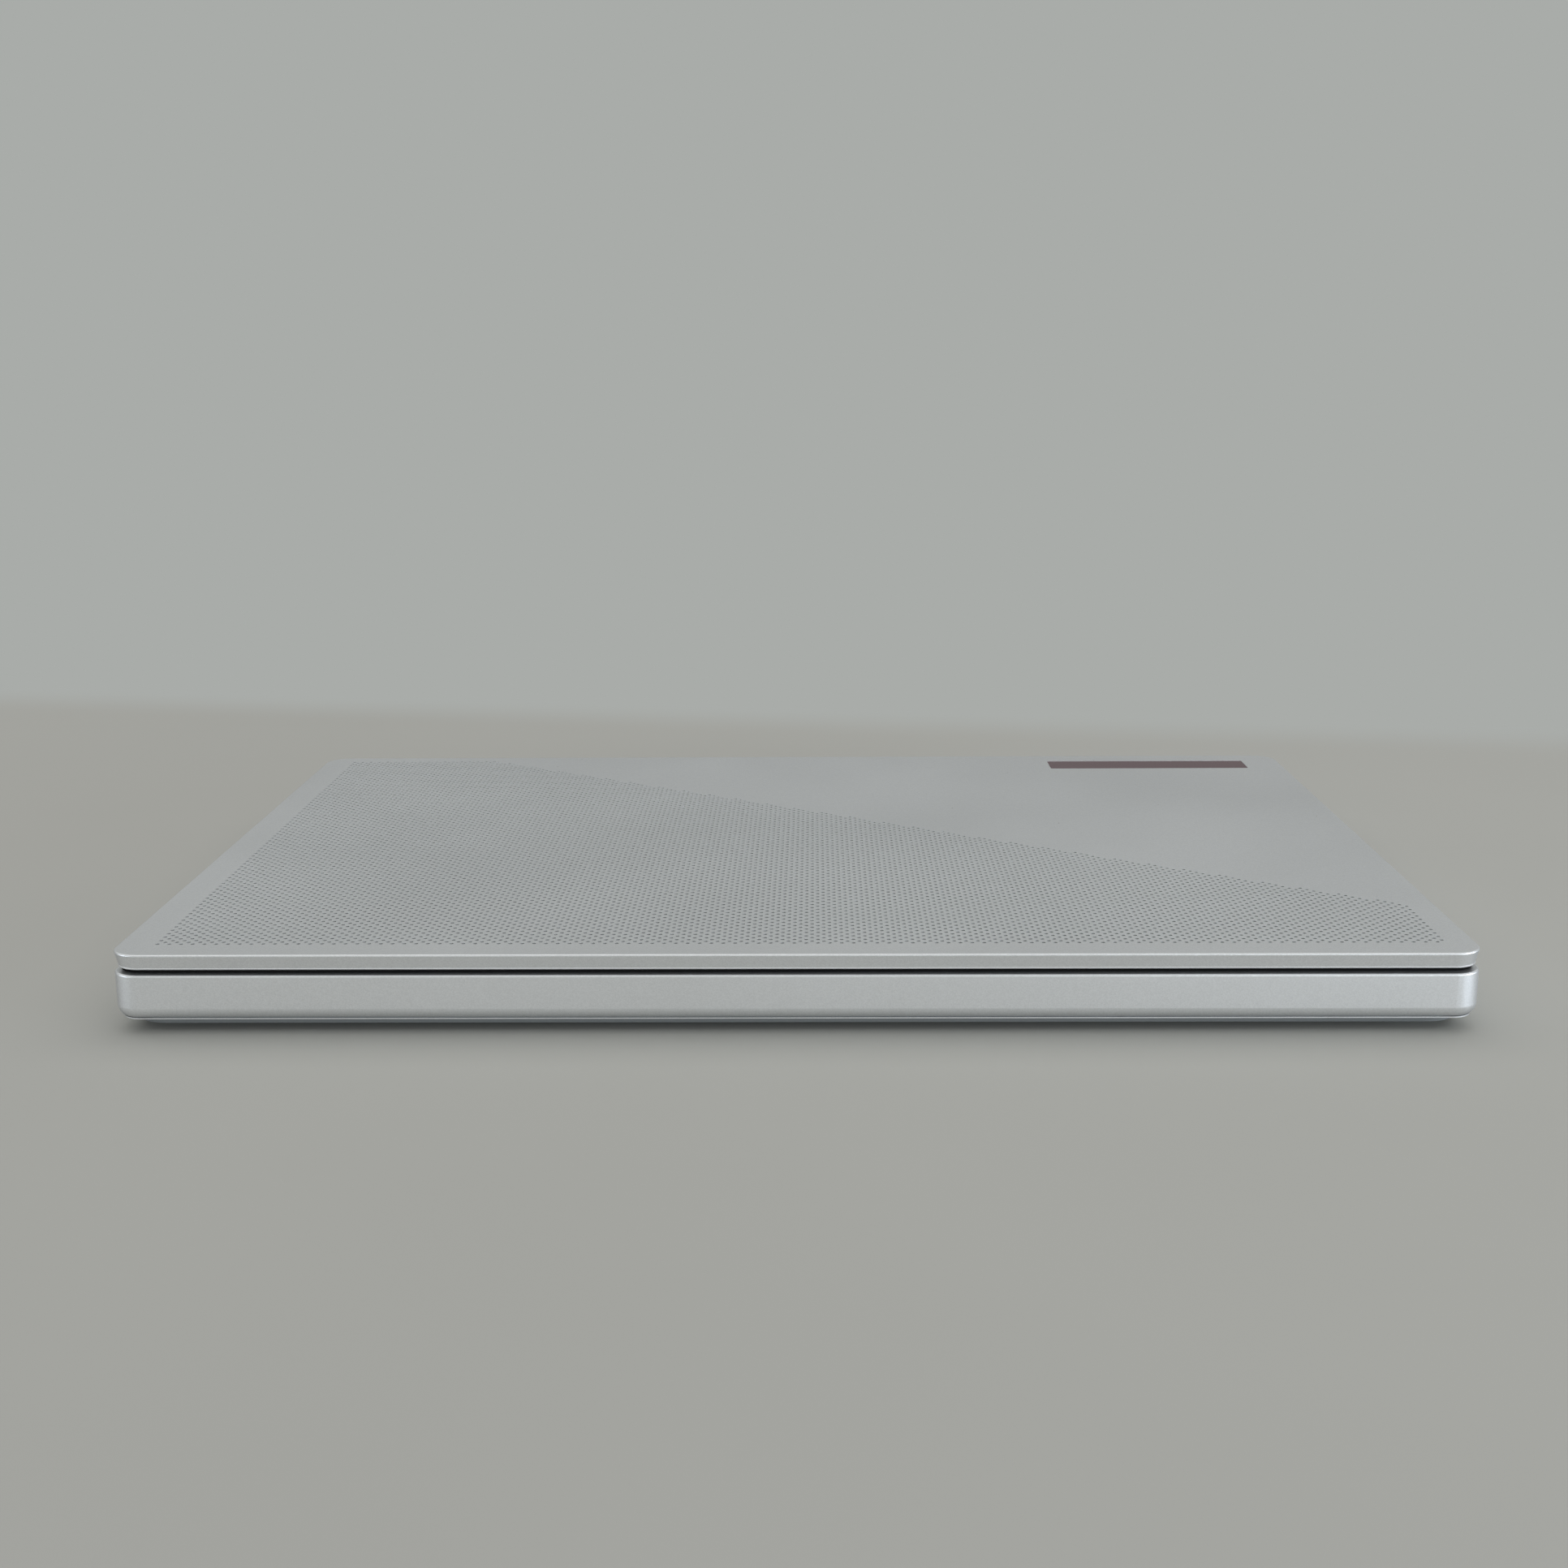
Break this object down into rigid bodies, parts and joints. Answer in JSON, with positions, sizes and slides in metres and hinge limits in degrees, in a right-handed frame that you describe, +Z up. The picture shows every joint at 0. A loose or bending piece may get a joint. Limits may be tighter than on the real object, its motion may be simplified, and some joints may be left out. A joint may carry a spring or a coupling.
{
  "type": "laptop computer",
  "caption": "Slim closed clamshell laptop with a perforated metal lid on drop hinges, keyboard, touchpad, display, side sockets and rubber feet.",
  "frame": {"origin": "on the table, under the middle of the closed laptop's box", "axes": "+X to the user's right, +Y to the hinge side, +Z up out of the lid"},
  "size_m": [0.324, 0.222, 0.0199],
  "materials": {
    "silver_shell": "pearly satin, fine blasted",
    "grey_cover": "satin grey paint",
    "badge_mirror": "dusky mirror, bare",
    "screen": "anti-glare, switched off",
    "black_plastic": "fine matt texture",
    "key_plastic": "smooth matt",
    "rubber": "matt",
    "circuit_board": "solder mask",
    "chip_package": "moulded",
    "copper": "drawn copper",
    "steel": "nickel plated",
    "fin_metal": "bare",
    "pad_glass": "etched satin",
    "film": "satin film"
  },
  "bodies": {
    "base": {"top_case": "silver_shell", "keyboard_frame": "silver_shell", "bottom_cover": "grey_cover", "battery_pack": "black_plastic", "speakers": "black_plastic", "fan_housing_left": "black_plastic", "fan_housing_right": "black_plastic", "audio_jack": "black_plastic", "power_jack": "black_plastic", "front_feet": "rubber", "rear_foot": "rubber", "key_domes": "rubber", "mainboard": "circuit_board", "io_board_left": "circuit_board", "io_board_right": "circuit_board", "memory_module": "circuit_board", "storage_module": "circuit_board", "radio_card": "circuit_board", "button_board": "circuit_board", "processor_chips": "chip_package", "heat_pipes": "copper", "cold_plates": "copper", "cover_screws": "steel", "board_screws": "steel", "hinge_screws": "steel", "hinge_bracket_left": "steel", "hinge_bracket_right": "steel", "serial_a_sockets": "steel", "serial_c_sockets": "steel", "video_socket": "steel", "keyboard_plate": "steel", "touchpad_bracket": "steel", "fin_stacks": "fin_metal"},
    "lid": {"lid_cover": "silver_shell", "badge_plate": "badge_mirror", "hole_film": "film", "display_cell": "screen", "display_backlight": "black_plastic", "display_bezel": "black_plastic", "bezel_gasket": "rubber", "lid_magnets": "steel", "antennas": "copper", "hinge_arm_left": "steel", "hinge_arm_right": "steel", "lid_screws": "steel"},
    "left_fan": {"fan_rotor_left": "black_plastic"},
    "right_fan": {"fan_rotor_right": "black_plastic"},
    "touchpad": {"touchpad_plate": "pad_glass", "touchpad_board": "circuit_board"},
    "power_key": {"power_button": "key_plastic"},
    "hot_key_set": {"hot_keys": "key_plastic"},
    "function_row": {"function_keys": "key_plastic"},
    "number_row": {"number_keys": "key_plastic"},
    "upper_letter_row": {"upper_letter_keys": "key_plastic"},
    "home_letter_row": {"home_letter_keys": "key_plastic"},
    "lower_letter_row": {"lower_letter_keys": "key_plastic"},
    "bottom_row": {"bottom_row_keys": "key_plastic"},
    "space_key": {"space_bar": "key_plastic"},
    "arrow_cluster": {"arrow_keys": "key_plastic"}
  },
  "joints": [
    {"name": "lid_hinge", "type": "hinge", "parent": "base", "child": "lid", "pos_m": [0, 0.106, 0.013], "axis": [-1, 0, 0], "range_deg": [0, 135]},
    {"name": "left_fan_spin", "type": "hinge", "parent": "base", "child": "left_fan", "pos_m": [-0.105, 0.058, 0.0075], "axis": [0, 0, 1], "continuous": true},
    {"name": "right_fan_spin", "type": "hinge", "parent": "base", "child": "right_fan", "pos_m": [0.105, 0.058, 0.0075], "axis": [0, 0, 1], "continuous": true},
    {"name": "touchpad_click", "type": "hinge", "parent": "base", "child": "touchpad", "pos_m": [0, -0.0324, 0.01275], "axis": [1, 0, 0], "range_deg": [0, 0.5], "stiffness_Nm_per_rad": 3, "springref_deg": -0.57},
    {"name": "power_press", "type": "slide", "parent": "base", "child": "power_key", "axis": [0, 0, -1], "range_m": [0, 0.0004], "stiffness_N_per_m": 1500, "springref_m": -0.0003},
    {"name": "hot_keys_press", "type": "slide", "parent": "base", "child": "hot_key_set", "axis": [0, 0, -1], "range_m": [0, 0.0004], "stiffness_N_per_m": 1500, "springref_m": -0.0003},
    {"name": "function_row_press", "type": "slide", "parent": "base", "child": "function_row", "axis": [0, 0, -1], "range_m": [0, 0.0012], "stiffness_N_per_m": 500, "springref_m": -0.0006, "deforming": ["key_domes"]},
    {"name": "number_row_press", "type": "slide", "parent": "base", "child": "number_row", "axis": [0, 0, -1], "range_m": [0, 0.0012], "stiffness_N_per_m": 500, "springref_m": -0.0006, "deforming": ["key_domes"]},
    {"name": "upper_letter_row_press", "type": "slide", "parent": "base", "child": "upper_letter_row", "axis": [0, 0, -1], "range_m": [0, 0.0012], "stiffness_N_per_m": 500, "springref_m": -0.0006, "deforming": ["key_domes"]},
    {"name": "home_letter_row_press", "type": "slide", "parent": "base", "child": "home_letter_row", "axis": [0, 0, -1], "range_m": [0, 0.0012], "stiffness_N_per_m": 500, "springref_m": -0.0006, "deforming": ["key_domes"]},
    {"name": "lower_letter_row_press", "type": "slide", "parent": "base", "child": "lower_letter_row", "axis": [0, 0, -1], "range_m": [0, 0.0012], "stiffness_N_per_m": 500, "springref_m": -0.0006, "deforming": ["key_domes"]},
    {"name": "bottom_row_press", "type": "slide", "parent": "base", "child": "bottom_row", "axis": [0, 0, -1], "range_m": [0, 0.0012], "stiffness_N_per_m": 500, "springref_m": -0.0006, "deforming": ["key_domes"]},
    {"name": "space_key_press", "type": "slide", "parent": "base", "child": "space_key", "axis": [0, 0, -1], "range_m": [0, 0.0012], "stiffness_N_per_m": 500, "springref_m": -0.0006, "deforming": ["key_domes"]},
    {"name": "arrow_cluster_press", "type": "slide", "parent": "base", "child": "arrow_cluster", "axis": [0, 0, -1], "range_m": [0, 0.0012], "stiffness_N_per_m": 500, "springref_m": -0.0006, "deforming": ["key_domes"]}
  ]
}
